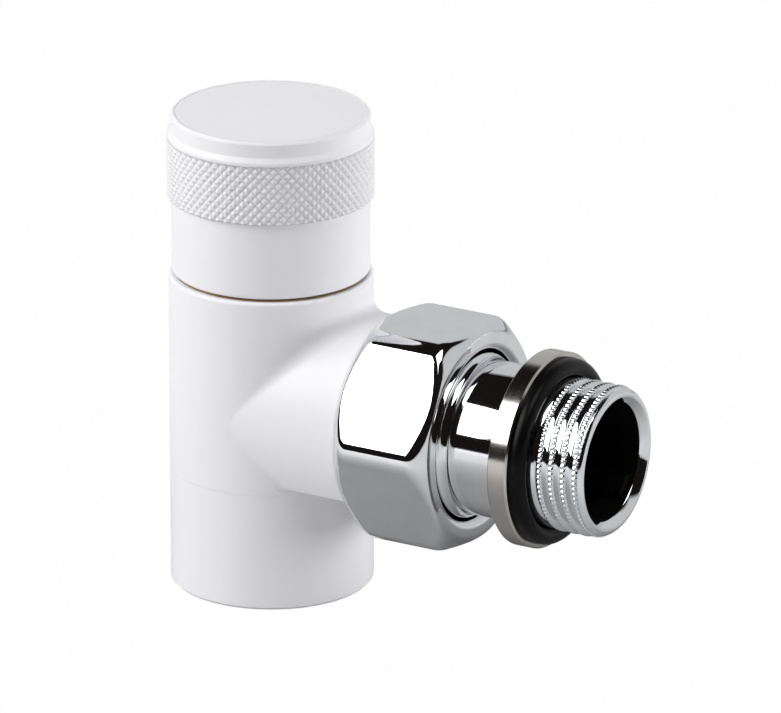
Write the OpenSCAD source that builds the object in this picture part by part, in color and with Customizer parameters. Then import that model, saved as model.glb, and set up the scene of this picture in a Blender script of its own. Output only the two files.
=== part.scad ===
// Angle shut-off valve for a radiator: a white body and handwheel, with a chromed union
// and tailpiece. The vertical axis is Z and the base is at z = 0. The branch points along +X.

/* [Body] */
// Outer diameter of the upright body and of the cover sleeve
body_d = 28; // [27:0.5:34]
// Height of the body's top edge above the base
body_h = 44.4; // [44:0.2:50]
// Height of the seam between the cover sleeve and the body
seam_h = 16.6; // [16:0.2:18]
// Height of the flat on the branch's underside above the seam
branch_flat = 0.9; // [0.2:0.1:1.5]
// Height of the branch axis above the base
branch_h = 26.4; // [25.8:0.1:26.6]
// Outer diameter of the white branch
branch_d = 27.8; // [27:0.2:28]
// Distance from the body axis to the back of the union nut
branch_len = 18.3; // [17.8:0.1:21]
// Bore of the branch
branch_bore_d = 12.4; // [10:0.2:12.6]
// Diameter of the branch thread that takes the union nut
union_thread_d = 26.44; // [26:0.02:27]
// Length of the union thread beyond the back of the nut
union_thread_len = 8.2; // [7:0.1:9.5]
// Edge rounding of the painted castings
soft_edge = 0.5; // [0.2:0.1:0.8]

/* [Seat and plug] */
// Bore of the valve seat
seat_d = 12; // [9:0.5:12.5]
// Height of the seat lip above the base
seat_h = 20.9; // [20.5:0.1:21.5]
// Diameter of the soft plug washer
plug_washer_d = 16; // [15:0.2:16.4]
// Thickness of the plug washer
plug_washer_t = 2.8; // [2:0.1:3]
// Diameter of the stud that carries the plug washer
stud_d = 4; // [3:0.1:4.4]
// Across flats of the nut on the stud
plug_nut_af = 7; // [6.4:0.1:8]
// Height of the nut on the stud
plug_nut_h = 2; // [1.6:0.1:2.2]
// Travel of the plug from closed to open
plug_travel = 4.5; // [3:0.5:4.5]

/* [Bonnet and stem] */
// Across flats of the bonnet hexagon
bonnet_af = 20; // [18:0.5:20.5]
// Height of the bonnet hexagon
bonnet_hex_h = 5; // [4:0.5:5.5]
// Diameter of the bonnet thread
bonnet_thread_d = 20.9; // [20:0.1:21]
// Diameter of the stem thread
stem_thread_d = 9.9; // [9:0.1:10.4]
// Diameter of the plain stem
stem_d = 7.8; // [7:0.1:8]
// Cord diameter of the stem O-rings
stem_ring_t = 1.4; // [1.2:0.1:1.6]
// Across flats of the handwheel drive on the stem
drive_af = 6; // [5:0.1:6.4]

/* [Handwheel] */
// Step in from the body's side to the smooth skirt
skirt_step = 0.45; // [0.3:0.05:0.8]
// Height of the knurl points above the body's side
grip_proud = 0.2; // [0.1:0.05:0.8]
// Step in from the body's side to the top rim
rim_step = 0.35; // [0.2:0.05:0.5]
// Chamfer round the top of the rim
rim_edge = 0.4; // [0.2:0.05:0.45]
// Height of the whole handwheel
wheel_h = 22.4; // [22:0.1:24]
// Height of the skirt below the grip band
skirt_h = 10.7; // [9:0.1:12]
// Height of the grip band
grip_h = 8.9; // [7:0.1:9.5]
// Gap between the body and the skirt when closed
wheel_gap = 0.45; // [0.3:0.05:0.8]
// Thickness of the skirt wall
skirt_wall = 1.3; // [1:0.1:1.4]
// Number of knurl points round the grip band
knurl_n = 72; // [60:2:80]
// Height of one knurl point
knurl_pitch = 1.36; // [1.2:0.02:1.6]
// Depth of the knurl
knurl_depth = 0.35; // [0.2:0.05:0.4]
// Width of the rim round the inset top disc
rim_w = 0.65; // [0.5:0.05:1.2]
// Thickness of the inset top disc
disc_t = 1.35; // [1:0.05:1.5]
// Diameter of the hub on the stem
hub_d = 13; // [11:0.5:15]
// Diameter of the screw that holds the handwheel
wheel_screw_d = 3; // [2.5:0.1:3.2]
// Length of the screw below its head
wheel_screw_len = 6; // [5:0.1:6.4]
// Diameter of the screw's washer
washer_d = 7; // [6:0.1:7.6]
// Thickness of the screw's washer
washer_t = 0.5; // [0.4:0.05:0.6]

/* [Union nut] */
// Across flats of the union nut
nut_af = 29.8; // [29.4:0.1:31.4]
// Length of the union nut
nut_len = 14.8; // [14.2:0.1:15.2]
// Diameter over the nut's turned corners
nut_corner_d = 33.1; // [32:0.1:33.8]
// Diameter of the flat ring on the nut's faces
nut_face_d = 28.8; // [27.6:0.1:29.2]
// Slope of the bevels at the nut's ends, in degrees
nut_bevel = 38; // [30:1:45]
// Diameter of the hole in the nut's front lip
nut_hole_d = 23.6; // [23.4:0.1:24.2]
// Thickness of the nut's front lip
nut_lip_t = 3.7; // [3:0.1:4.1]
// Depth of the wide mouth of the front hole
nut_mouth = 0.7; // [0.3:0.1:1]

/* [Tailpiece] */
// Distance from the body axis to the end of the tailpiece
tail_reach = 54; // [53:0.5:60]
// Diameter of the radiator thread
tail_thread_d = 20.955; // [20.9:0.005:21]
// Length of the radiator thread
tail_thread_len = 5.9; // [5:0.1:7]
// Length of the plain ring at the end of the tailpiece
tail_end_len = 1.4; // [1:0.1:2]
// Diameter of the tailpiece shank
shank_d = 21.3; // [21.1:0.1:22]
// Bore of the tailpiece
tail_bore_d = 16.7; // [15:0.1:17]
// Bore of the tailpiece nose
nose_bore_d = 13; // [12:0.1:14]
// Diameter of the sealing collar
collar_d = 27; // [26.5:0.1:29]
// Length of the sealing collar
collar_len = 2.9; // [2.5:0.1:3.5]
// Distance from the end of the tailpiece to the front of the sealing collar
collar_inset = 9.6; // [9.5:0.1:9.8]
// Depth of the recess in the collar that holds the face seal
collar_recess = 1.2; // [0.8:0.1:1.4]
// Outer diameter of the face seal
seal_d = 25.6; // [25:0.1:25.8]
// Length by which the face seal stands out of the collar
seal_proud = 1.9; // [1.6:0.1:2.1]

/* [Pipe connection] */
// Diameter of the hole for the pipe in the cover sleeve
sleeve_hole_d = 16; // [15.6:0.1:17]
// Thickness of the floor of the cover sleeve
sleeve_floor = 2; // [1.5:0.1:2.2]
// Inner diameter of the cover sleeve
sleeve_bore_d = 25.2; // [24.9:0.1:25.6]
// Bore of the compression screw and of the pipe socket
pipe_bore_d = 15.2; // [15.1:0.05:15.4]
// Across flats of the compression screw
screw_af = 21; // [19:0.5:21.5]
// Diameter of the thread of the compression screw
pipe_thread_d = 20.96; // [20.5:0.02:21]

/* [Hidden] */
$fn = 96;

// clearances
run = 0.05;        // running clearance of a turning or sliding pair, on the radius
thread_gap = 0.04; // clearance of a plain stand-in for a fine thread, on the radius
cut = 1;           // overrun of a cutting shape

white = [0.93, 0.93, 0.94];
disc_white = [0.9, 0.9, 0.91];
chrome = [0.78, 0.79, 0.81];
nickel = [0.62, 0.6, 0.57];
brass = [0.8, 0.65, 0.36];
rubber = [0.06, 0.06, 0.06];
ptfe = [0.95, 0.95, 0.93];

// spigot under the seam, which the sleeve covers
seam_gap = 0.05;
spigot_d = sleeve_bore_d - 0.5;
screw_hex_z = sleeve_floor + 0.6;
screw_hex_h = 4;
spigot_z = screw_hex_z + screw_hex_h + 0.4;
screw_shank = 5.6;
screw_top = screw_hex_z + screw_hex_h + screw_shank;
ring_len = 3.8;
ring_d = 18.4;
ring_seat_z = screw_top + 1.7;
socket_z = screw_top + ring_len + 0.2;
socket_len = 1.8;
sleeve_ring_t = 1.1;
sleeve_ring_z = spigot_z + 6;

// seat, chamber and bonnet port
chamber_d = 19.6;
chamber_z = seat_h - 1.2;
lip_d = seat_d + 2.6;
plug_play = 0.05;
holder_wall = 0.7;
holder_d = plug_washer_d + 2 * holder_wall;
holder_z = seat_h + 0.7;
button_z = seat_h + plug_washer_t + 1.3;
button_h = 2.8;
button_d = 6.4;
neck_d = 4.4;
holder_top = button_z + button_h + 0.8;
bonnet_z = holder_top + plug_travel + 0.4;
flange_d = body_d - 2.2;
flange_t = 1.3;
flange_z = body_h + 0.1 - flange_t;
bonnet_ring_t = 1.8;
bonnet_ring_d = 22.4;
port_ring_z = flange_z - bonnet_ring_t;
bonnet_root_d = bonnet_ring_d - bonnet_ring_t - 0.1;

// stem
stem_thread_z = holder_top + 0.4;
stem_thread_len = flange_z - 0.3 - plug_travel - stem_thread_z;
stem_ring_gap = 2.8;
stem_ring_z = flange_z + 0.9;
groove_w = stem_ring_t + 0.1;
neck_top = body_h + 0.1 + bonnet_hex_h + 4.2;
neck_outer_d = 14;
gland_d = 11;
gland_len = 2.4;
packing_t = 1.2;
gland_af = 12;
gland_head = 1.2;
drive_z = neck_top + gland_head + 0.4;
drive_len = 7.2;

// handwheel
wheel_z = body_h + wheel_gap;
wheel_top = wheel_z + wheel_h;
skirt_d = body_d - 2 * skirt_step;
grip_d = body_d + 2 * grip_proud;
rim_d = body_d - 2 * rim_step;
disc_d = rim_d - 2 * rim_w;
skirt_inner_d = skirt_d - 2 * skirt_wall;
hub_top = drive_z + drive_len + 0.2;
ceiling_z = hub_top + 0.4;
disc_z = wheel_top - 0.06 - disc_t;
screw_well_d = 8.4;
grip_z = wheel_z + skirt_h;
grip_top = grip_z + grip_h;
grip_core_r = grip_d / 2 - knurl_depth - 0.05;
knurl_rows = floor((grip_h - 0.6) / knurl_pitch);
knurl_top = grip_z + 0.1 + knurl_rows * knurl_pitch;

// union
nut_front = branch_len + nut_len;
shoulder_x = nut_front - nut_mouth;
union_end = branch_len + union_thread_len;
lip_x = nut_front - nut_lip_t;
nut_thread_d = union_thread_d + 2 * thread_gap;
head_d = nut_hole_d + 2;
nose_d = 17.9;
nose_len = 2.9;
nose_ring_t = 1.2;
nose_socket_d = nose_d + 4 * run + 0.2;
collar_front = tail_reach - collar_inset;
collar_back = collar_front - collar_len;
runout_d = tail_thread_d - 0.36;
thread_x = tail_reach - tail_end_len - tail_thread_len;
bead_d = nut_hole_d - 0.8;
flare_r = 1.6;
lug_len = 9;

// points of an arc about [cr, cz], from angle a to angle b
function arc(cr, cz, r, a, b, n = 4) =
    [for (i = [0 : n]) [cr + r * cos(a + (b - a) * i / n), cz + r * sin(a + (b - a) * i / n)]];

// a solid of revolution about Z from radius and height points
module turned(points) {
    rotate_extrude() polygon(points);
}

// the children, made about Z, laid along the branch axis with z = 0 at the body axis
module on_branch() {
    translate([0, 0, branch_h]) rotate([0, 90, 0]) children();
}

// a hexagon bar with its corners turned off at both ends
module hex_bar(af, h, corner_d, bevel, face_d) {
    face_r = is_undef(face_d) ? af / 2 - 0.1 : face_d / 2;
    intersection() {
        cylinder(d = af / cos(30), h = h, $fn = 6);
        turned([
            [0, 0], [face_r, 0], [corner_d / 2, bevel],
            [corner_d / 2, h - bevel], [face_r, h], [0, h]
        ]);
    }
}

// an O-ring of mean diameter d and cord diameter t, centred at height z
module oring(d, t, z) {
    translate([0, 0, z]) rotate_extrude() translate([d / 2, 0]) circle(d = t, $fn = 32);
}

module body_outside() {
    r = body_d / 2;
    turned(concat(
        [[0, spigot_z], [spigot_d / 2 - 0.4, spigot_z], [spigot_d / 2, spigot_z + 0.4],
         [spigot_d / 2, seam_h], [r - 0.06, seam_h], [r, seam_h + 0.06]],
        arc(r - soft_edge, body_h - soft_edge, soft_edge, 0, 90),
        [[0, body_h]]
    ));
    // the branch has a flat underneath, so that the sleeve clears it
    intersection() {
        on_branch() turned(concat(
            [[0, 0], [branch_d / 2, 0]],
            arc(branch_d / 2 - soft_edge, branch_len - 0.1 - soft_edge, soft_edge, 0, 90),
            [[0, branch_len - 0.1]]
        ));
        translate([0, -body_d, seam_h + branch_flat]) cube([branch_len + cut, 2 * body_d, body_d]);
    }
    on_branch() turned([
        [0, branch_len - 0.2], [union_thread_d / 2, branch_len - 0.2],
        [union_thread_d / 2, union_end - 0.5], [union_thread_d / 2 - 0.5, union_end], [0, union_end]
    ]);
}

module body_waterway() {
    turned([
        [0, spigot_z - cut], [pipe_thread_d / 2, spigot_z - cut],
        [pipe_thread_d / 2, ring_seat_z], [ring_d / 2 + 0.3, ring_seat_z],
        [pipe_bore_d / 2 + 0.3, socket_z], [pipe_bore_d / 2, socket_z],
        [pipe_bore_d / 2, socket_z + socket_len], [seat_d / 2, socket_z + socket_len],
        [seat_d / 2, seat_h], [lip_d / 2 - 0.3, seat_h], [lip_d / 2, seat_h - 0.3],
        [lip_d / 2, chamber_z], [chamber_d / 2, chamber_z],
        [chamber_d / 2, bonnet_z], [bonnet_thread_d / 2 + thread_gap, bonnet_z],
        [bonnet_thread_d / 2 + thread_gap, port_ring_z],
        [(bonnet_ring_d + bonnet_ring_t) / 2 + 0.1, port_ring_z],
        [(bonnet_ring_d + bonnet_ring_t) / 2 + 0.1, flange_z],
        [flange_d / 2 + 0.1, flange_z], [flange_d / 2 + 0.1, body_h + cut], [0, body_h + cut]
    ]);
    on_branch() turned([
        [0, 0], [branch_bore_d / 2, 0], [branch_bore_d / 2, union_end - nose_len - 0.2],
        [nose_socket_d / 2, union_end - nose_len - 0.2], [nose_socket_d / 2, union_end + cut],
        [0, union_end + cut]
    ]);
}

module valve_body() {
    color(white) difference() {
        body_outside();
        body_waterway();
        // groove for the O-ring that holds the sleeve
        difference() {
            translate([0, 0, sleeve_ring_z - sleeve_ring_t / 2 - 0.05])
                cylinder(d = spigot_d + cut, h = sleeve_ring_t + 0.1);
            translate([0, 0, sleeve_ring_z - sleeve_ring_t])
                cylinder(d = sleeve_bore_d - 0.2 - 2 * sleeve_ring_t, h = 2 * sleeve_ring_t);
        }
    }
}

module cover_sleeve() {
    r = body_d / 2;
    color(white) turned([
        [sleeve_hole_d / 2, 0], [r - 0.4, 0], [r, 0.4],
        [r, seam_h - seam_gap - 0.06], [r - 0.06, seam_h - seam_gap],
        [sleeve_bore_d / 2 + 0.3, seam_h - seam_gap], [sleeve_bore_d / 2, seam_h - seam_gap - 0.3],
        [sleeve_bore_d / 2, sleeve_floor], [sleeve_hole_d / 2, sleeve_floor]
    ]);
}

module sleeve_oring() {
    color(rubber) oring(sleeve_bore_d - 0.2 - sleeve_ring_t, sleeve_ring_t, sleeve_ring_z);
}

module compression_screw() {
    shank_d = pipe_thread_d - 2 * thread_gap;
    color(brass) difference() {
        union() {
            translate([0, 0, screw_hex_z]) hex_bar(screw_af, screw_hex_h, screw_af * 1.13, 0.6);
            translate([0, 0, screw_hex_z + screw_hex_h - 0.5]) turned([
                [0, 0], [shank_d / 2, 0], [shank_d / 2, screw_shank + 0.1],
                [shank_d / 2 - 0.4, screw_shank + 0.5], [0, screw_shank + 0.5]
            ]);
        }
        translate([0, 0, screw_hex_z - cut]) cylinder(d = pipe_bore_d, h = screw_top);
    }
}

module compression_ring() {
    inner = pipe_bore_d / 2 - 0.05;
    color(brass) translate([0, 0, screw_top]) turned([
        [inner, 0], [inner + 0.7, 0], [ring_d / 2, 1.2], [ring_d / 2, 1.5],
        [inner + 0.4, ring_len], [inner, ring_len]
    ]);
}

module bonnet() {
    hex_z = body_h + 0.1;
    color(brass) difference() {
        union() {
            turned([
                [0, bonnet_z], [bonnet_thread_d / 2 - 0.5, bonnet_z],
                [bonnet_thread_d / 2, bonnet_z + 0.5], [bonnet_thread_d / 2, port_ring_z - 0.3],
                [bonnet_root_d / 2, port_ring_z - 0.1], [bonnet_root_d / 2, flange_z],
                [flange_d / 2, flange_z], [flange_d / 2, hex_z - 0.2], [flange_d / 2 - 0.2, hex_z],
                [neck_outer_d / 2, hex_z], [neck_outer_d / 2, neck_top - 0.4],
                [neck_outer_d / 2 - 0.4, neck_top], [0, neck_top]
            ]);
            translate([0, 0, hex_z - 0.1]) hex_bar(bonnet_af, bonnet_hex_h + 0.1, bonnet_af * 1.13, 0.7);
        }
        turned([
            [0, bonnet_z - cut], [stem_thread_d / 2 + run, bonnet_z - cut],
            [stem_thread_d / 2 + run, flange_z - 0.2], [stem_d / 2 + run, flange_z - 0.2],
            [stem_d / 2 + run, neck_top - gland_len - packing_t],
            [gland_d / 2 + thread_gap, neck_top - gland_len - packing_t],
            [gland_d / 2 + thread_gap, neck_top + cut], [0, neck_top + cut]
        ]);
    }
}

module bonnet_oring() {
    color(rubber) oring(bonnet_ring_d, bonnet_ring_t, flange_z - bonnet_ring_t / 2);
}

module packing_ring() {
    color(ptfe) translate([0, 0, neck_top - gland_len - packing_t]) difference() {
        cylinder(d = gland_d, h = packing_t);
        translate([0, 0, -cut]) cylinder(d = stem_d + 2 * run, h = packing_t + 2 * cut);
    }
}

module gland_nut() {
    color(brass) translate([0, 0, neck_top - gland_len]) difference() {
        union() {
            cylinder(d = gland_d, h = gland_len + 0.1);
            translate([0, 0, gland_len]) hex_bar(gland_af, gland_head, gland_af * 1.12, 0.3);
        }
        translate([0, 0, -cut]) cylinder(d = stem_d + 2 * run, h = gland_len + gland_head + 2 * cut);
    }
}

module stem() {
    bottom = button_z + plug_play;
    color(brass) difference() {
        union() {
            turned([
                [0, bottom], [button_d / 2, bottom], [button_d / 2, button_z + button_h - plug_play],
                [neck_d / 2, button_z + button_h - plug_play], [neck_d / 2, stem_thread_z],
                [stem_thread_d / 2 - 0.4, stem_thread_z], [stem_thread_d / 2, stem_thread_z + 0.4],
                [stem_thread_d / 2, stem_thread_z + stem_thread_len],
                [stem_d / 2, stem_thread_z + stem_thread_len], [stem_d / 2, drive_z], [0, drive_z]
            ]);
            translate([0, 0, drive_z - 0.2]) cylinder(d = drive_af / cos(30), h = drive_len + 0.2, $fn = 6);
        }
        for (i = [0, 1]) stem_groove(stem_ring_z + i * stem_ring_gap);
        translate([0, 0, drive_z + 1]) cylinder(d = wheel_screw_d + 2 * thread_gap, h = drive_len);
    }
}

// one O-ring groove round the stem, with its lower side at height z
module stem_groove(z) {
    translate([0, 0, z]) difference() {
        cylinder(d = stem_d + cut, h = groove_w);
        translate([0, 0, -cut]) cylinder(d = stem_d - 2 * stem_ring_t, h = groove_w + 2 * cut);
    }
}

module stem_oring(i) {
    color(rubber) oring(stem_d - stem_ring_t, stem_ring_t, stem_ring_z + i * stem_ring_gap + groove_w / 2);
}

module handwheel() {
    color(white) difference() {
        union() {
            knurl_ring(grip_z + 0.1, grip_core_r - 0.6);
            wheel_shell();
        }
        translate([0, 0, drive_z - cut])
            cylinder(d = (drive_af + run) / cos(30), h = drive_len + 2 * cut, $fn = 6);
    }
}

module wheel_shell() {
    skirt_r = skirt_d / 2;
    margin_r = grip_d / 2 - 0.1;
    rim_r = rim_d / 2;
    turned([
        [drive_af / 4, drive_z], [hub_d / 2, drive_z], [hub_d / 2, ceiling_z],
        [skirt_inner_d / 2, ceiling_z], [skirt_inner_d / 2, wheel_z], [skirt_r - 0.2, wheel_z],
        [skirt_r, wheel_z + 0.2], [skirt_r, grip_z], [grip_core_r, grip_z],
        [grip_core_r, knurl_top - 0.1], [margin_r, knurl_top + 0.1], [margin_r, grip_top - 0.1],
        [rim_r, grip_top + 0.6], [rim_r, wheel_top - rim_edge], [rim_r - rim_edge, wheel_top],
        [disc_d / 2 + run, wheel_top], [disc_d / 2 + run, disc_z],
        [screw_well_d / 2, disc_z], [screw_well_d / 2, hub_top], [drive_af / 4, hub_top]
    ]);
}

// a ring of staggered four-sided points, as a diamond knurl leaves them
module knurl_ring(z, inner_r) {
    across = 2 * knurl_n;
    up = 2 * knurl_rows;
    bottom = across * (up + 1);
    top = bottom + across;
    points = concat(
        [for (k = [0 : up], m = [0 : across - 1])
            let (r = grip_d / 2 - ((m + k) % 2 == 0 ? 0 : knurl_depth), a = 360 * m / across)
            [r * cos(a), r * sin(a), z + k * knurl_pitch / 2]],
        [for (h = [z, z + up * knurl_pitch / 2], m = [0 : across - 1])
            let (a = 360 * m / across) [inner_r * cos(a), inner_r * sin(a), h]]
    );
    sides = [for (k = [0 : up - 1], m = [0 : across - 1])
        let (n = (m + 1) % across, a = k * across + m, b = k * across + n, c = b + across, d = a + across)
        each ((m + k) % 2 == 0 ? [[a, d, b], [d, c, b]] : [[a, d, c], [a, c, b]])];
    ends = [for (m = [0 : across - 1])
        let (n = (m + 1) % across, last = up * across)
        each [[m, n, bottom + n, bottom + m], [last + n, last + m, top + m, top + n],
              [bottom + m, bottom + n, top + n, top + m]]];
    polyhedron(points, concat(sides, ends));
}

module wheel_washer() {
    color(chrome) translate([0, 0, hub_top]) difference() {
        cylinder(d = washer_d, h = washer_t);
        translate([0, 0, -cut]) cylinder(d = wheel_screw_d + 4 * run, h = washer_t + 2 * cut);
    }
}

module wheel_screw() {
    head_r = wheel_screw_d / 2 + 1.3;
    color(chrome) translate([0, 0, hub_top + washer_t]) difference() {
        turned(concat(
            [[0, -wheel_screw_len], [wheel_screw_d / 2 - 0.4, -wheel_screw_len],
             [wheel_screw_d / 2, 0.4 - wheel_screw_len], [wheel_screw_d / 2, 0], [head_r, 0]],
            arc(head_r - 1, 0.9, 1, 0, 90),
            [[0, 1.9]]
        ));
        translate([0, 0, 0.8]) cylinder(d = wheel_screw_d * 0.75, h = 2, $fn = 6);
    }
}

module top_disc() {
    r = disc_d / 2;
    color(disc_white) translate([0, 0, disc_z])
        turned([[0, 0], [r, 0], [r, disc_t - 0.08], [r - 0.08, disc_t], [0, disc_t]]);
}

module plug_holder() {
    color(brass) difference() {
        union() {
            turned([
                [0, holder_z], [holder_d / 2, holder_z], [holder_d / 2, button_z + 0.6],
                [button_d / 2 + 1.6, button_z + 1.4], [button_d / 2 + 1.6, holder_top - 0.3],
                [button_d / 2 + 1.3, holder_top], [0, holder_top]
            ]);
        }
        difference() {
            translate([0, 0, holder_z - cut])
                cylinder(d = plug_washer_d + 0.04, h = seat_h + plug_washer_t - holder_z + cut);
            translate([0, 0, holder_z - 2 * cut]) cylinder(d = stud_d, h = 3 * plug_washer_t);
        }
        translate([0, 0, button_z]) cylinder(d = button_d + 2 * run, h = button_h);
        translate([0, 0, button_z + 0.5]) cylinder(d = neck_d + 2 * run, h = button_h + cut);
    }
    color(brass) translate([0, 0, seat_h - plug_nut_h - 0.2])
        cylinder(d = stud_d, h = plug_nut_h + 0.3 + plug_washer_t);
}

module plug_washer() {
    color(rubber) translate([0, 0, seat_h]) difference() {
        cylinder(d = plug_washer_d, h = plug_washer_t);
        translate([0, 0, -cut]) cylinder(d = stud_d + thread_gap, h = plug_washer_t + 2 * cut);
    }
}

module plug_nut() {
    color(brass) translate([0, 0, seat_h - plug_nut_h]) difference() {
        hex_bar(plug_nut_af, plug_nut_h, plug_nut_af * 1.13, 0.3);
        translate([0, 0, -cut]) cylinder(d = stud_d + thread_gap, h = plug_nut_h + 2 * cut);
    }
}

module union_nut() {
    bevel = (nut_corner_d - nut_face_d) / 2 * tan(nut_bevel);
    color(chrome) on_branch() difference() {
        translate([0, 0, branch_len]) rotate([0, 0, 30])
            hex_bar(nut_af, nut_len, nut_corner_d, bevel, nut_face_d);
        turned([
            [0, branch_len - cut], [nut_thread_d / 2 + 0.5, branch_len - cut],
            [nut_thread_d / 2 + 0.5, branch_len], [nut_thread_d / 2, branch_len + 0.5],
            [nut_thread_d / 2, lip_x], [nut_hole_d / 2, lip_x], [nut_hole_d / 2, shoulder_x],
            [nut_hole_d / 2 + nut_mouth, nut_front], [nut_hole_d / 2 + nut_mouth, nut_front + cut],
            [0, nut_front + cut]
        ]);
    }
}

module tailpiece() {
    nose_x = union_end - nose_len;
    thread_end = tail_reach - tail_end_len;
    color(chrome) on_branch() {
        difference() {
            turned(concat(
                [[nose_bore_d / 2, nose_x], [nose_d / 2 - 0.3, nose_x], [nose_d / 2, nose_x + 0.3],
                 [nose_d / 2, union_end], [head_d / 2, union_end], [head_d / 2, lip_x],
                 [bead_d / 2, lip_x], [bead_d / 2, shoulder_x - 0.1],
                 [bead_d / 2 - 0.2, shoulder_x + 0.1]],
                arc(shank_d / 2 + flare_r, shoulder_x - 0.2 + flare_r, flare_r, 225, 180),
                [[shank_d / 2, collar_back], [runout_d / 2, collar_back], [runout_d / 2, thread_x],
                 [tail_thread_d / 2, thread_x], [tail_thread_d / 2, thread_end],
                 [tail_thread_d / 2 - 0.7, thread_end + 0.2], [tail_thread_d / 2 - 0.2, thread_end + 0.5],
                 [tail_thread_d / 2 - 0.2, tail_reach - 0.4], [tail_thread_d / 2 - 0.6, tail_reach],
                 [tail_bore_d / 2 + 0.3, tail_reach], [tail_bore_d / 2, tail_reach - 0.3],
                 [tail_bore_d / 2, lip_x + 2], [nose_bore_d / 2, lip_x]]
            ));
            // groove for the nose O-ring
            translate([0, 0, nose_x + 0.7]) difference() {
                cylinder(d = nose_d + cut, h = nose_ring_t + 0.1);
                translate([0, 0, -cut])
                    cylinder(d = nose_socket_d - 4 * run - 2 * nose_ring_t, h = nose_ring_t + 2 * cut);
            }
        }
        // two lugs in the bore, for the key that turns the tailpiece
        for (side = [0, 180]) rotate([0, 0, side + 215])
            translate([tail_bore_d / 2 - 1.1, -1.6, tail_reach - lug_len - 2]) cube([1.3, 3.2, lug_len]);
    }
}

module nose_oring() {
    color(rubber) on_branch() oring(
        nose_socket_d - 4 * run - nose_ring_t, nose_ring_t,
        union_end - nose_len + 0.75 + nose_ring_t / 2
    );
}

module sealing_collar() {
    r = collar_d / 2;
    inner = runout_d / 2 + thread_gap;
    color(nickel) on_branch() turned([
        [inner, collar_back], [r - 0.15, collar_back], [r, collar_back + 0.15],
        [r, collar_front - 0.25], [r - 0.25, collar_front], [seal_d / 2 + 0.05, collar_front],
        [seal_d / 2 + 0.05, collar_front - collar_recess], [inner, collar_front - collar_recess]
    ]);
}

module face_seal() {
    inner = runout_d / 2 + thread_gap;
    round_r = (seal_d / 2 - inner) / 2;
    centre_x = collar_front + seal_proud - round_r;
    color(rubber) on_branch() rotate_extrude() {
        translate([inner, collar_front - collar_recess])
            square([2 * round_r, centre_x - collar_front + collar_recess]);
        translate([inner + round_r, centre_x]) circle(r = round_r, $fn = 32);
    }
}

valve_body();
cover_sleeve();
sleeve_oring();
compression_screw();
compression_ring();
bonnet();
bonnet_oring();
packing_ring();
gland_nut();
stem();
stem_oring(0);  // stem_oring_lower
stem_oring(1);  // stem_oring_upper
handwheel();
wheel_washer();
wheel_screw();
top_disc();
plug_holder();
plug_washer();
plug_nut();
union_nut();
tailpiece();
nose_oring();
sealing_collar();
face_seal();
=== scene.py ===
import bmesh
import bpy
import math
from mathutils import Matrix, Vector


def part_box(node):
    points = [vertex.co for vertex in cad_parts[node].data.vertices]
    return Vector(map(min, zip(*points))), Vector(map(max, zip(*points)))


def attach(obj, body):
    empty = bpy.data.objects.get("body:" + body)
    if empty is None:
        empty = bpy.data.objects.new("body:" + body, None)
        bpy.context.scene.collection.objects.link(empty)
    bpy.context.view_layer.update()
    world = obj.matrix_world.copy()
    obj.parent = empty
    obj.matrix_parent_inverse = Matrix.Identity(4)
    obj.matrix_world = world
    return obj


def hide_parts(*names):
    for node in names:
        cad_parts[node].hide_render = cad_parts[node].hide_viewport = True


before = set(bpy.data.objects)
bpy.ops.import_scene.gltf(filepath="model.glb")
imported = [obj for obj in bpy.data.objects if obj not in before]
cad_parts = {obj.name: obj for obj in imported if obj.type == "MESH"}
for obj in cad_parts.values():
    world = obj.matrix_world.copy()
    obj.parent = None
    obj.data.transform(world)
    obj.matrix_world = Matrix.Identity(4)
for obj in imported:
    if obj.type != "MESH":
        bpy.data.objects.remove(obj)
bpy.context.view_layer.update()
scene = bpy.context.scene
mm = 0.001
branchHeight = (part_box("tailpiece")[0].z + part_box("tailpiece")[1].z) / 2  # height of the branch axis


# where a node's box starts and ends on an axis, in mm
def startOf(node, axis):
    return round(getattr(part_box(node)[0], axis) / mm, 3)


def endOf(node, axis):
    return round(getattr(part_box(node)[1], axis) / mm, 3)


bodyRadius = -startOf("valve_body", "x")


def newMaterial(name):
    material = bpy.data.materials.new(name)
    material.use_nodes = True
    nodes = material.node_tree.nodes
    return material, nodes, material.node_tree.links, nodes["Principled BSDF"]


def addNode(nodes, kind, **settings):
    node = nodes.new(kind)
    for key, value in settings.items():
        if key in node.inputs:
            node.inputs[key].default_value = value
        else:
            setattr(node, key, value)
    return node


def addBump(nodes, links, shader, height, strength, distance):
    bump = addNode(nodes, "ShaderNodeBump", Strength=strength, Distance=distance)
    links.new(height, bump.inputs["Height"])
    links.new(bump.outputs["Normal"], shader.inputs["Normal"])
    return bump


def addRamp(nodes, links, source, stops):
    ramp = nodes.new("ShaderNodeValToRGB")
    links.new(source, ramp.inputs["Fac"])
    ramp.color_ramp.elements[0].position, ramp.color_ramp.elements[0].color = stops[0]
    ramp.color_ramp.elements[1].position, ramp.color_ramp.elements[1].color = stops[-1]
    for position, color in stops[1:-1]:
        ramp.color_ramp.elements.new(position).color = color
    return ramp


def grey(value, tint=(1, 1, 1)):
    return (value * tint[0], value * tint[1], value * tint[2], 1)


# a ramp between two colors over the middle of a noise, where its values lie
def addShade(nodes, links, noise, first, second, start=0.3, end=0.7):
    return addRamp(nodes, links, noise.outputs["Fac"], [(start, first), (end, second)])


paint = {"color": 0.9, "cloud": 0.01, "shade": (0.973, 0.965, 0.999), "light": (0.978, 0.97, 1),
         "roughness": 0.42, "gloss": 0.35, "cloudScale": 60, "grainScale": 3200,
         "bump": 0.12, "depth": 0.00003}


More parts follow.
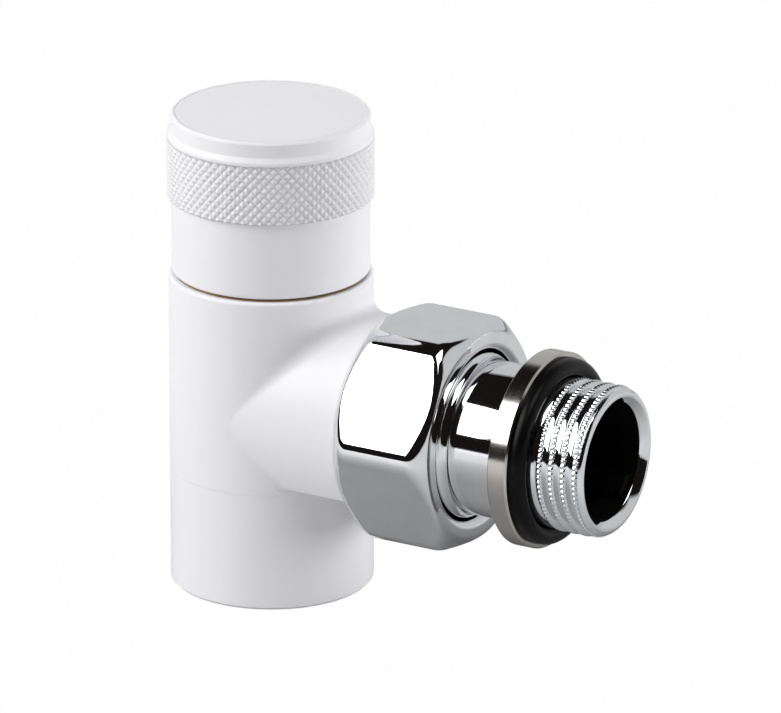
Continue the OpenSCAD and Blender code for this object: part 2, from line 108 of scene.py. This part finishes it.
def whitePaint(name="whitePaint", color=paint["color"], roughness=paint["roughness"], edge=0):
    material, nodes, links, shader = newMaterial(name)
    coords = addNode(nodes, "ShaderNodeTexCoord")
    cloud = addNode(nodes, "ShaderNodeTexNoise", Scale=paint["cloudScale"], Detail=3, Roughness=0.5)
    links.new(coords.outputs["Object"], cloud.inputs["Vector"])
    deep, light = grey(color, paint["shade"]), grey(color + paint["cloud"], paint["light"])
    tint = addShade(nodes, links, cloud, deep, light)
    links.new(tint.outputs["Color"], shader.inputs["Base Color"])
    shader.inputs["Roughness"].default_value = roughness
    shader.inputs["Specular IOR Level"].default_value = paint["gloss"]
    grain = addNode(nodes, "ShaderNodeTexNoise", Scale=paint["grainScale"], Detail=2, Roughness=0.6)
    links.new(coords.outputs["Object"], grain.inputs["Vector"])
    bump = addBump(nodes, links, shader, grain.outputs["Fac"], paint["bump"], paint["depth"])
    if edge:
        film = addNode(nodes, "ShaderNodeBevel", samples=6)  # the thick paint rounds the creases
        film.inputs["Radius"].default_value = edge
        links.new(film.outputs["Normal"], bump.inputs["Normal"])
    return material


plate = (0.855, 0.868, 0.892)  # chrome plate, slightly blue
turned = (1, 0.02, 0.02)  # the grain of a piece turned about the branch axis
# roughness follows the grain, from roughness up to roughness plus spread
metals = {
    "chrome": {"color": plate, "roughness": 0.03, "spread": 0.015,
               "grainScale": 260, "stretch": (1, 1, 1), "bump": 0.03, "depth": 0.00002},
    "turnedChrome": {"color": plate, "roughness": 0.035, "spread": 0.02,
                     "grainScale": 1400, "stretch": turned, "bump": 0.1, "depth": 0.00001},
    "turnedNickel": {"color": (0.6, 0.577, 0.55), "roughness": 0.11, "spread": 0.07,
                     "grainScale": 3000, "stretch": turned, "bump": 0.16, "depth": 0.000012},
    "brass": {"color": (0.68, 0.46, 0.19), "roughness": 0.16, "spread": 0.08,
              "grainScale": 900, "stretch": (1, 1, 6), "bump": 0.1, "depth": 0.00003},
    "zincSteel": {"color": (0.6, 0.6, 0.62), "roughness": 0.28, "spread": 0.1,
                  "grainScale": 900, "stretch": (1, 1, 1), "bump": 0.05, "depth": 0.00002},
}


def metal(name):
    spec = metals[name]
    material, nodes, links, shader = newMaterial(name)
    coords = addNode(nodes, "ShaderNodeTexCoord")
    mapping = addNode(nodes, "ShaderNodeMapping", Scale=spec["stretch"])
    links.new(coords.outputs["Object"], mapping.inputs["Vector"])
    grain = addNode(nodes, "ShaderNodeTexNoise", Scale=spec["grainScale"], Detail=3, Roughness=0.55)
    links.new(mapping.outputs["Vector"], grain.inputs["Vector"])
    shade = addShade(nodes, links, grain, grey(0.94, spec["color"]), grey(1, spec["color"]))
    links.new(shade.outputs["Color"], shader.inputs["Base Color"])
    gloss = addNode(nodes, "ShaderNodeMapRange")
    gloss.inputs["To Min"].default_value = spec["roughness"]
    gloss.inputs["To Max"].default_value = spec["roughness"] + spec["spread"]
    links.new(grain.outputs["Fac"], gloss.inputs["Value"])
    links.new(gloss.outputs["Result"], shader.inputs["Roughness"])
    shader.inputs["Metallic"].default_value = 1
    addBump(nodes, links, shader, grain.outputs["Fac"], spec["bump"], spec["depth"])
    return material


rubber = {"dark": 0.002, "light": 0.005, "roughness": 0.3, "gloss": 0.12,
          "grainScale": 1500, "bump": 0.15, "depth": 0.00003}


def blackRubber():
    material, nodes, links, shader = newMaterial("blackRubber")
    coords = addNode(nodes, "ShaderNodeTexCoord")
    grain = addNode(nodes, "ShaderNodeTexNoise", Scale=rubber["grainScale"], Detail=4, Roughness=0.6)
    links.new(coords.outputs["Object"], grain.inputs["Vector"])
    shade = addShade(nodes, links, grain, grey(rubber["dark"]), grey(rubber["light"]))
    links.new(shade.outputs["Color"], shader.inputs["Base Color"])
    shader.inputs["Roughness"].default_value = rubber["roughness"]
    shader.inputs["Specular IOR Level"].default_value = rubber["gloss"]
    addBump(nodes, links, shader, grain.outputs["Fac"], rubber["bump"], rubber["depth"])
    return material


# painted shade: the inside of the bore is coloured near black, as the deep hole looks, with a faint random
# mottle between the two tones
boreShade = {"dark": (0.002, 0.0017, 0.0015), "light": (0.006, 0.005, 0.004), "roughness": 0.7, "gloss": 0.06,
            "mottleScale": 500, "bump": 0.2, "depth": 0.00005}


def paintedBoreShade():
    material, nodes, links, shader = newMaterial("paintedBoreShade")
    coords = addNode(nodes, "ShaderNodeTexCoord")
    mottle = addNode(nodes, "ShaderNodeTexNoise", Scale=boreShade["mottleScale"], Detail=4)
    links.new(coords.outputs["Object"], mottle.inputs["Vector"])
    shade = addShade(nodes, links, mottle, grey(1, boreShade["dark"]), grey(1, boreShade["light"]),
                     start=0.35, end=0.75)
    links.new(shade.outputs["Color"], shader.inputs["Base Color"])
    shader.inputs["Roughness"].default_value = boreShade["roughness"]
    shader.inputs["Specular IOR Level"].default_value = boreShade["gloss"]
    addBump(nodes, links, shader, mottle.outputs["Fac"], boreShade["bump"], boreShade["depth"])
    return material


finish = {
    "white": whitePaint(),
    "castWhite": whitePaint("paintedCasting", edge=0.0003),
    "knurlWhite": whitePaint("paintedKnob", edge=0.00028),
    "disc": whitePaint("discWhite", roughness=0.5),
    "chrome": metal("chrome"),
    "turnedChrome": metal("turnedChrome"),
    "nickel": metal("turnedNickel"),
    "brass": metal("brass"),
    "steel": metal("zincSteel"),
    "rubber": blackRubber(),
    "ptfe": whitePaint("ptfe", color=0.88, roughness=0.6),
    "bore": paintedBoreShade(),
}
print("materials made:", len(finish))

nodeFinish = {
    "castWhite": ["valve_body"],
    "white": ["cover_sleeve"],
    "knurlWhite": ["handwheel"],
    "disc": ["top_disc"],
    "nickel": ["sealing_collar"],
    "brass": ["compression_screw", "compression_ring", "bonnet", "gland_nut", "stem",
              "plug_holder", "plug_nut"],
    "steel": ["wheel_washer", "wheel_screw"],
    "rubber": ["sleeve_oring", "bonnet_oring", "stem_oring_lower", "stem_oring_upper", "plug_washer",
               "nose_oring", "face_seal"],
    "ptfe": ["packing_ring"],
    "chrome": ["union_nut", "tailpiece"],  # hidden under the pieces below
}
for key, names in nodeFinish.items():
    for name in names:
        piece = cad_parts[name]
        piece.data.materials.clear()
        piece.data.materials.append(finish[key])


# rounds the corners (x, r, soft) of a closed section; most is the share of a side that one corner may take
def softSection(corners, steps=5, most=0.48):
    points = []
    count = len(corners)
    for i, (x, r, soft) in enumerate(corners):
        if soft == 0:
            points.append((x, r))
            continue
        here = Vector((x, r))
        before = Vector(corners[i - 1][:2]) - here
        after = Vector(corners[(i + 1) % count][:2]) - here
        start = here + before.normalized() * min(soft, before.length * most)
        end = here + after.normalized() * min(soft, after.length * most)
        for k in range(steps + 1):
            t = k / steps
            point = start * (1 - t) ** 2 + here * 2 * t * (1 - t) + end * t ** 2
            points.append((point.x, point.y))
    return points


# turns a closed section about the branch axis; the section may change with the angle
def lathe(name, sectionAt, angles, axisHeight):
    rows = [sectionAt(angle) for angle in angles]
    ring = len(rows[0])
    corners = []
    for angle, row in zip(angles, rows):
        for x, r in row:
            corners.append((x * mm, r * mm * math.cos(angle), axisHeight + r * mm * math.sin(angle)))
    faces = []
    for i in range(len(rows)):
        j = (i + 1) % len(rows)
        for k in range(ring):
            m = (k + 1) % ring
            faces.append((i * ring + k, i * ring + m, j * ring + m, j * ring + k))
    mesh = bpy.data.meshes.new(name)
    mesh.from_pydata(corners, [], faces)
    mesh.validate()
    mesh.update()
    piece = bpy.data.objects.new(name, mesh)
    scene.collection.objects.link(piece)
    mesh.shade_smooth()
    firm = piece.modifiers.new("firmNormals", "WEIGHTED_NORMAL")
    firm.mode = "FACE_AREA"
    firm.weight = 100
    return piece


nutLip = 29.4  # inside the nut, the lip that pulls on the tailpiece's head
nut = {"back": startOf("union_nut", "x"), "front": endOf("union_nut", "x"), "lip": nutLip,
       "acrossFlats": endOf("union_nut", "z") - startOf("union_nut", "z"), "cornerRound": 4.3, "turn": -1.3,
       "faceRadius": 14.35, "bevelAngle": 38, "edgeSoft": 1.1, "faceSoft": 0.7,
       "holeRadius": 11.8, "holeSoft": 0.4, "mouth": 0.7, "mouthSoft": 0.5,
       "threadRadius": 13.26, "threadSoft": 0.3, "steps": 14}


def hexRadius(angle, flat, roundness):
    # distance from the axis to a hexagon with rounded corners; a flat faces up at turn 0
    fromFlat = (angle - math.pi / 2 + math.pi / 6) % (math.pi / 3) - math.pi / 6
    centre = (flat - roundness) / math.cos(math.pi / 6)
    turn = math.pi / 6 - abs(fromFlat)
    onFlat = flat / math.cos(fromFlat)
    if flat * math.tan(abs(fromFlat)) <= centre * 0.5:
        return onFlat
    return centre * math.cos(turn) + math.sqrt(roundness ** 2 - (centre * math.sin(turn)) ** 2)


def makeUnionNut(spec):
    flat = spec["acrossFlats"] / 2
    turn = math.radians(spec["turn"])
    edge = math.atan((flat - spec["cornerRound"]) * math.tan(math.pi / 6) / flat)
    steps = spec["steps"]
    angles = []
    for side in range(6):
        middle = math.pi / 2 + turn + side * math.pi / 3
        angles += [middle - edge + 2 * edge * k / steps for k in range(steps)]
        angles += [middle + edge + (math.pi / 3 - 2 * edge) * k / steps for k in range(steps)]

    def section(angle):
        outer = hexRadius(angle - turn, flat, spec["cornerRound"])
        face, soft = spec["faceRadius"], spec["edgeSoft"]
        bevel = (outer - face) * math.tan(math.radians(spec["bevelAngle"]))
        front, back = spec["front"], spec["back"]
        hole, mouth, inner = spec["holeRadius"], spec["mouth"], spec["threadRadius"]
        return softSection([
            (spec["lip"], hole, 0), (front - mouth, hole, spec["holeSoft"]),
            (front, hole + mouth, spec["mouthSoft"]), (front, face, spec["faceSoft"]),
            (front - bevel, outer, soft), (back + bevel, outer, soft), (back, face, spec["faceSoft"]),
            (back, inner, spec["threadSoft"]), (spec["lip"], inner, 0),
        ])
    piece = lathe("unionNut", section, angles, branchHeight)
    piece.data.materials.append(finish["chrome"])
    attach(piece, "nut")
    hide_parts("union_nut")
    return piece


tail = {"reach": endOf("tailpiece", "x"), "shankRadius": 10.65,
        "nose": {"start": startOf("tailpiece", "x"), "radius": 8.95, "soft": 0.3},
        "head": {"start": endOf("valve_body", "x"), "end": nutLip - 0.02, "radius": 12.8, "soft": 0.2},
        "bead": {"end": 32.55, "radius": 11.4, "soft": 0.35},
        "flare": {"end": 33.8, "radius": 1.6, "degrees": 42, "step": 6},
        "neck": {"start": startOf("sealing_collar", "x"), "end": 46.4, "radius": 10.28},  # for the collar
        "bore": {"noseRadius": 6.5, "noseEnd": 29.5, "start": 31.4, "radius": 8.15, "mouth": 1.05},
        "thread": {"from": 46.6, "start": 46.7, "end": 53.4, "pitch": 1.8143, "crest": 10.478, "root": 9.35,
                   "rootWidth": 0.1, "flanks": 0.72, "round": 0.35, "runIn": 0.4, "runOut": 0.3,
                   "lastHeight": 0.35, "notches": 88, "notchDepth": 0.34, "rows": 96},
        "endRing": [(0.55, 9.85, 0), (0.5, 10.12, 0.06), (0.1, 9.78, 0.2), (0, 9.3, 0.1),
                    (0.06, 9.2, 0.03), (0, 9.1, 0.05), (0.95, 8.15, 0.15)],  # back from the end, radius, soft
        "lug": {"width": 3.2, "height": 1.1, "length": 9, "setBack": 1.6, "turn": 135,
                "sunk": 0.15, "soft": 0.2}}


def threadRadius(x, angle, spec):
    phase = ((x - spec["start"]) / spec["pitch"] - angle / (2 * math.pi)) % 1
    height = (abs(phase - 0.5) * 2 - spec["rootWidth"]) / spec["flanks"]
    height = min(1, max(0, height))  # 0 in the root, 1 on the crest
    height = height * height * (3 - 2 * height) * spec["round"] + height * (1 - spec["round"])
    radius = spec["root"] + (spec["crest"] - spec["root"]) * height
    # the crests are serrated to hold the seal
    notch = 1 - abs((angle / (2 * math.pi) * spec["notches"]) % 1 * 2 - 1)
    return min(radius, spec["crest"] - spec["notchDepth"] * notch)


def addLugs(piece, spec, reach, boreRadius, axisHeight):
    # two keys that stand up from the bore wall
    form = bmesh.new()
    form.from_mesh(piece.data)
    low, high = boreRadius - spec["height"], boreRadius + spec["sunk"]
    for side in (0, 180):
        turn = math.radians(side + spec["turn"])
        box = bmesh.ops.create_cube(form, size=1)["verts"]
        for v in box:
            x = reach - spec["setBack"] - spec["length"] * (0.5 - v.co.x)
            r = low + (high - low) * (v.co.z + 0.5)
            across = v.co.y * spec["width"]
            v.co = Vector((x, r * math.cos(turn) - across * math.sin(turn), 0))
            v.co.z = axisHeight / mm + r * math.sin(turn) + across * math.cos(turn)
            v.co *= mm
        edges = list({e for v in box for e in v.link_edges})
        bmesh.ops.bevel(form, geom=edges, offset=spec["soft"] * mm, segments=2, affect="EDGES")
    form.to_mesh(piece.data)
    form.free()


def makeTailpiece(spec):
    nose, head, bead, flare, neck = spec["nose"], spec["head"], spec["bead"], spec["flare"], spec["neck"]
    bore, thread, shank, reach = spec["bore"], spec["thread"], spec["shankRadius"], spec["reach"]
    sweep = []
    for degrees in range(flare["degrees"], -1, -flare["step"]):
        a = math.radians(degrees)
        lean, drop = flare["radius"] * math.sin(a), flare["radius"] * (1 - math.cos(a))
        sweep.append((flare["end"] - lean, shank + drop, 0))
    front = [
        (bore["noseEnd"], bore["noseRadius"], 0), (nose["start"], bore["noseRadius"], 0),
        (nose["start"], nose["radius"], nose["soft"]), (head["start"], nose["radius"], 0),
        (head["start"], head["radius"], head["soft"]), (head["end"], head["radius"], 0),
        (head["end"], bead["radius"], 0), (bead["end"], bead["radius"], bead["soft"])]
    back = [
        (neck["start"], shank, 0), (neck["start"], neck["radius"], 0), (neck["end"], neck["radius"], 0),
        (thread["from"], thread["root"], 0)]
    plain = softSection(front + sweep + back, steps=3)
    ring = softSection([(reach - inset, r, soft) for inset, r, soft in spec["endRing"]]
                       + [(bore["start"], bore["radius"], 0)], steps=3)
    steps = thread["rows"]
    span = thread["end"] - thread["start"]

    def section(angle):
        grooves = []
        for k in range(steps + 1):
            x = thread["start"] + span * k / steps
            first, last = (x - thread["start"]) / thread["runIn"], (thread["end"] - x) / thread["runOut"]
            fade = max(0, min(1, first, last + thread["lastHeight"]))
            grooves.append((x, thread["root"] + (threadRadius(x, angle, thread) - thread["root"]) * fade))
        return plain + grooves + ring
    turns = 4 * thread["notches"]
    piece = lathe("tailpieceThreaded", section, [2 * math.pi * k / turns for k in range(turns)], branchHeight)
    addLugs(piece, spec["lug"], reach, bore["radius"], branchHeight)
    piece.data.materials.append(finish["turnedChrome"])
    piece.data.materials.append(finish["bore"])
    for face in piece.data.polygons:
        x, y, z = face.center / mm
        inside = math.hypot(y, z - branchHeight / mm) < bore["radius"] + 0.02
        if inside and x < reach - bore["mouth"]:
            face.material_index = 1  # the bore's inside gets painted shade, near black; its mouth is plated
    piece.data.shade_smooth()
    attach(piece, "tail")
    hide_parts("tailpiece")
    return piece


blend = {"bodyRadius": bodyRadius, "branchRadius": 13.9, "radius": 2.4, "along": 160, "across": 8,
         "floor": endOf("cover_sleeve", "z") + 0.97}  # the flat under the branch


def makeCreaseBlend(spec):
    # the cast fillet between body and branch, as a ball rolled along the crease leaves it
    ball = spec["radius"]
    bodyReach, branchReach = spec["bodyRadius"] + ball, spec["branchRadius"] + ball
    form = bmesh.new()
    rows = []
    for i in range(spec["along"] + 1):
        around = math.pi * 2 * i / spec["along"]
        y, rise = branchReach * math.cos(around), branchReach * math.sin(around)
        x = math.sqrt(bodyReach ** 2 - y ** 2)
        centre = Vector((x, y, rise))
        onBody = Vector((x, y, 0)) * spec["bodyRadius"] / bodyReach + Vector((0, 0, rise)) - centre
        onBranch = Vector((x, 0, 0)) + Vector((0, y, rise)) * spec["branchRadius"] / branchReach - centre
        row = []
        for k in range(spec["across"] + 1):
            t = k / spec["across"]
            point = centre + (onBody * (1 - t) + onBranch * t).normalized() * ball
            height = max(point.z + branchHeight / mm, spec["floor"])
            row.append(form.verts.new(Vector((point.x, point.y, height)) * mm))
        rows.append(row)
    for a, b in zip(rows, rows[1:]):
        for k in range(spec["across"]):
            form.faces.new((a[k], a[k + 1], b[k + 1], b[k]))
    bmesh.ops.remove_doubles(form, verts=form.verts, dist=0.000002)
    bmesh.ops.recalc_face_normals(form, faces=form.faces)
    mesh = bpy.data.meshes.new("creaseBlend")
    form.to_mesh(mesh)
    form.free()
    piece = bpy.data.objects.new("creaseBlend", mesh)
    scene.collection.objects.link(piece)
    mesh.shade_smooth()
    piece.data.materials.append(finish["white"])
    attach(piece, "body")


# rings of standing paint: one on the lower edge of the body, which makes the seam to the sleeve faint,
# and one that fills the corner between the top disc and the rim; a section's points are measured
# outward from the radius and upward from the height
films = {
    "seamFilm": {"rides": "body", "sides": 240,
                 "radius": bodyRadius, "height": endOf("cover_sleeve", "z"),
                 "section": [(-0.096, 0.085), (-0.096, 0.009), (-0.051, 0.001), (-0.012, -0.04),
                             (-0.006, 0.005), (-0.006, 0.11), (-0.051, 0.13)]},
    "discFilm": {"rides": "spindle", "sides": 240,
                 "radius": endOf("top_disc", "x"), "height": endOf("handwheel", "z"),
                 "section": [(-0.1, -0.064), (-0.06, -0.13), (0.07, -0.09), (0.07, -0.004),
                             (0.02, -0.02), (-0.04, -0.046)]},
}


def makeFilm(name, spec):
    form = bmesh.new()
    rows = []
    for i in range(spec["sides"]):
        a = 2 * math.pi * i / spec["sides"]
        row = []
        for out, up in spec["section"]:
            r, z = spec["radius"] + out, spec["height"] + up
            row.append(form.verts.new(Vector((r * math.cos(a), r * math.sin(a), z)) * mm))
        rows.append(row)
    for a, b in zip(rows, rows[1:] + rows[:1]):
        for k in range(len(a)):
            m = (k + 1) % len(a)
            form.faces.new((a[k], b[k], b[m], a[m]))
    bmesh.ops.recalc_face_normals(form, faces=form.faces)
    mesh = bpy.data.meshes.new(name)
    form.to_mesh(mesh)
    form.free()
    piece = bpy.data.objects.new(name, mesh)
    scene.collection.objects.link(piece)
    mesh.shade_smooth()
    piece.modifiers.new("firmNormals", "WEIGHTED_NORMAL").weight = 100
    piece.data.materials.append(finish["white"])
    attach(piece, spec["rides"])


makeCreaseBlend(blend)
print("crease blend made")
for filmName, filmSpec in films.items():
    makeFilm(filmName, filmSpec)
print("paint films made:", len(films))
makeUnionNut(nut)
print("union nut made")
makeTailpiece(tail)
print("tailpiece and its thread made")

camera = {"azimuth": 30.1, "elevation": 19.86, "distance": 1.364, "lens": 464.1, "sensor": 36,
          "aim": (0.02535, 0, 0.03699), "aimRight": -0.00565, "aimUp": -0.00052}


def makeCamera(spec):
    a = math.radians(spec["azimuth"])
    e = math.radians(spec["elevation"])
    back = Vector((math.sin(a) * math.cos(e), -math.cos(a) * math.cos(e), math.sin(e)))
    right = Vector((math.cos(a), math.sin(a), 0))
    up = back.cross(right)
    aim = Vector(spec["aim"]) + right * spec["aimRight"] + up * spec["aimUp"]
    data = bpy.data.cameras.new("camera")
    data.lens = spec["lens"]
    data.sensor_width = spec["sensor"]
    shot = bpy.data.objects.new("camera", data)
    shot.location = aim + back * spec["distance"]
    shot.rotation_mode = "QUATERNION"
    shot.rotation_quaternion = (-back).to_track_quat("-Z", "Y")
    scene.collection.objects.link(shot)
    scene.camera = shot


lampAim = Vector((0.015, 0, 0.033))
lamps = {
    "leftBox": {"azimuth": -45, "elevation": 37, "distance": 0.9, "size": (0.7, 0.62), "power": 7.35},
    "rightBox": {"azimuth": 122, "elevation": 6, "distance": 0.9, "size": (0.9, 0.24), "power": 5.3,
                 "shows": False},  # not seen in the chrome
    "topFill": {"azimuth": 62, "elevation": 68, "distance": 1.3, "size": (0.8, 0.7), "power": 4.8},
}


def makeLamp(name, spec, aim):
    a = math.radians(spec["azimuth"])
    e = math.radians(spec["elevation"])
    out = Vector((math.sin(a) * math.cos(e), -math.cos(a) * math.cos(e), math.sin(e)))
    data = bpy.data.lights.new(name, "AREA")
    data.shape = "RECTANGLE"
    data.size, data.size_y = spec["size"]
    data.energy = spec["power"]
    lamp = bpy.data.objects.new(name, data)
    lamp.location = aim + out * spec["distance"]
    lamp.rotation_mode = "QUATERNION"
    lamp.rotation_quaternion = (-out).to_track_quat("-Z", "Y")
    lamp.visible_glossy = spec.get("shows", True)
    scene.collection.objects.link(lamp)


room = {"dark": (0.009, 0.0075, 0.0065), "wall": 0.6, "wallSide": 0.12, "wallTop": 0.66, "wallEdge": 0.06,
        "backdrop": 1}


def makeWorld(spec):
    # a dark room with a pale wall behind the part, and plain white for the camera
    world = bpy.data.worlds.new("studio")
    scene.world = world
    world.use_nodes = True
    nodes, links = world.node_tree.nodes, world.node_tree.links
    nodes.clear()
    coords = addNode(nodes, "ShaderNodeTexCoord")
    split = addNode(nodes, "ShaderNodeSeparateXYZ")
    links.new(coords.outputs["Generated"], split.inputs["Vector"])
    behind = addRamp(nodes, links, split.outputs["Y"], [(0, grey(0)), (spec["wallSide"], grey(1))])
    top = spec["wallTop"]
    low = addRamp(nodes, links, split.outputs["Z"], [(top, grey(1)), (top + spec["wallEdge"], grey(0))])
    share = addNode(nodes, "ShaderNodeMath", operation="MULTIPLY")
    links.new(behind.outputs["Color"], share.inputs[0])
    links.new(low.outputs["Color"], share.inputs[1])
    deep, pale = grey(1, spec["dark"]), grey(spec["wall"])
    shade = addRamp(nodes, links, share.outputs["Value"], [(0, deep), (1, pale)])
    studio = addNode(nodes, "ShaderNodeBackground")
    links.new(shade.outputs["Color"], studio.inputs["Color"])
    seen = addNode(nodes, "ShaderNodeBackground", Color=grey(1), Strength=spec["backdrop"])
    path = addNode(nodes, "ShaderNodeLightPath")
    mix = addNode(nodes, "ShaderNodeMixShader")
    links.new(path.outputs["Is Camera Ray"], mix.inputs["Fac"])
    links.new(studio.outputs["Background"], mix.inputs[1])
    links.new(seen.outputs["Background"], mix.inputs[2])
    out = addNode(nodes, "ShaderNodeOutputWorld")
    links.new(mix.outputs["Shader"], out.inputs["Surface"])


# the floor's tones for glossy rays, by distance from the part, are a painted shadow seen in the chrome
ground = {"size": 6, "below": 0.00005, "color": 0.76, "lift": 0.985,
          "shadowInMetal": [(0.035, 0.33), (0.06, 0.5), (0.11, 0.8)]}


def makeFloor(spec):
    bpy.ops.mesh.primitive_plane_add(size=spec["size"], location=(0, 0, -spec["below"]))
    floor = bpy.context.object
    floor.name = "floor"
    material, nodes, links, shader = newMaterial("floorWhite")
    shader.inputs["Roughness"].default_value = 0.9
    shader.inputs["Specular IOR Level"].default_value = 0.1
    glow = addNode(nodes, "ShaderNodeEmission", Color=grey(1), Strength=1)
    path = addNode(nodes, "ShaderNodeLightPath")
    coords = addNode(nodes, "ShaderNodeTexCoord")
    away = addNode(nodes, "ShaderNodeVectorMath", operation="LENGTH")
    links.new(coords.outputs["Object"], away.inputs[0])
    # painted shadow seen only in the chrome: for glossy rays the floor is coloured darker close to the part
    # and pale further out
    reflectedShadow = addRamp(nodes, links, away.outputs["Value"], [
        (reach, grey(tone)) for reach, tone in spec["shadowInMetal"]])
    shade = addNode(nodes, "ShaderNodeMix", data_type="RGBA")
    links.new(path.outputs["Is Glossy Ray"], shade.inputs["Factor"])
    shade.inputs[6].default_value = grey(spec["color"])
    links.new(reflectedShadow.outputs["Color"], shade.inputs[7])
    links.new(shade.outputs[2], shader.inputs["Base Color"])
    share = addNode(nodes, "ShaderNodeMath", operation="MULTIPLY")
    share.inputs[1].default_value = spec["lift"]  # the camera sees the floor white, with the part's shadow
    links.new(path.outputs["Is Camera Ray"], share.inputs[0])
    mix = addNode(nodes, "ShaderNodeMixShader")
    links.new(share.outputs["Value"], mix.inputs["Fac"])
    links.new(shader.outputs["BSDF"], mix.inputs[1])
    links.new(glow.outputs["Emission"], mix.inputs[2])
    links.new(mix.outputs["Shader"], nodes["Material Output"].inputs["Surface"])
    floor.data.materials.append(material)


makeCamera(camera)
for lampName, lampSpec in lamps.items():
    makeLamp(lampName, lampSpec, lampAim)
makeWorld(room)
makeFloor(ground)
scene.view_settings.view_transform = "Standard"
print("camera, lamps and floor made")
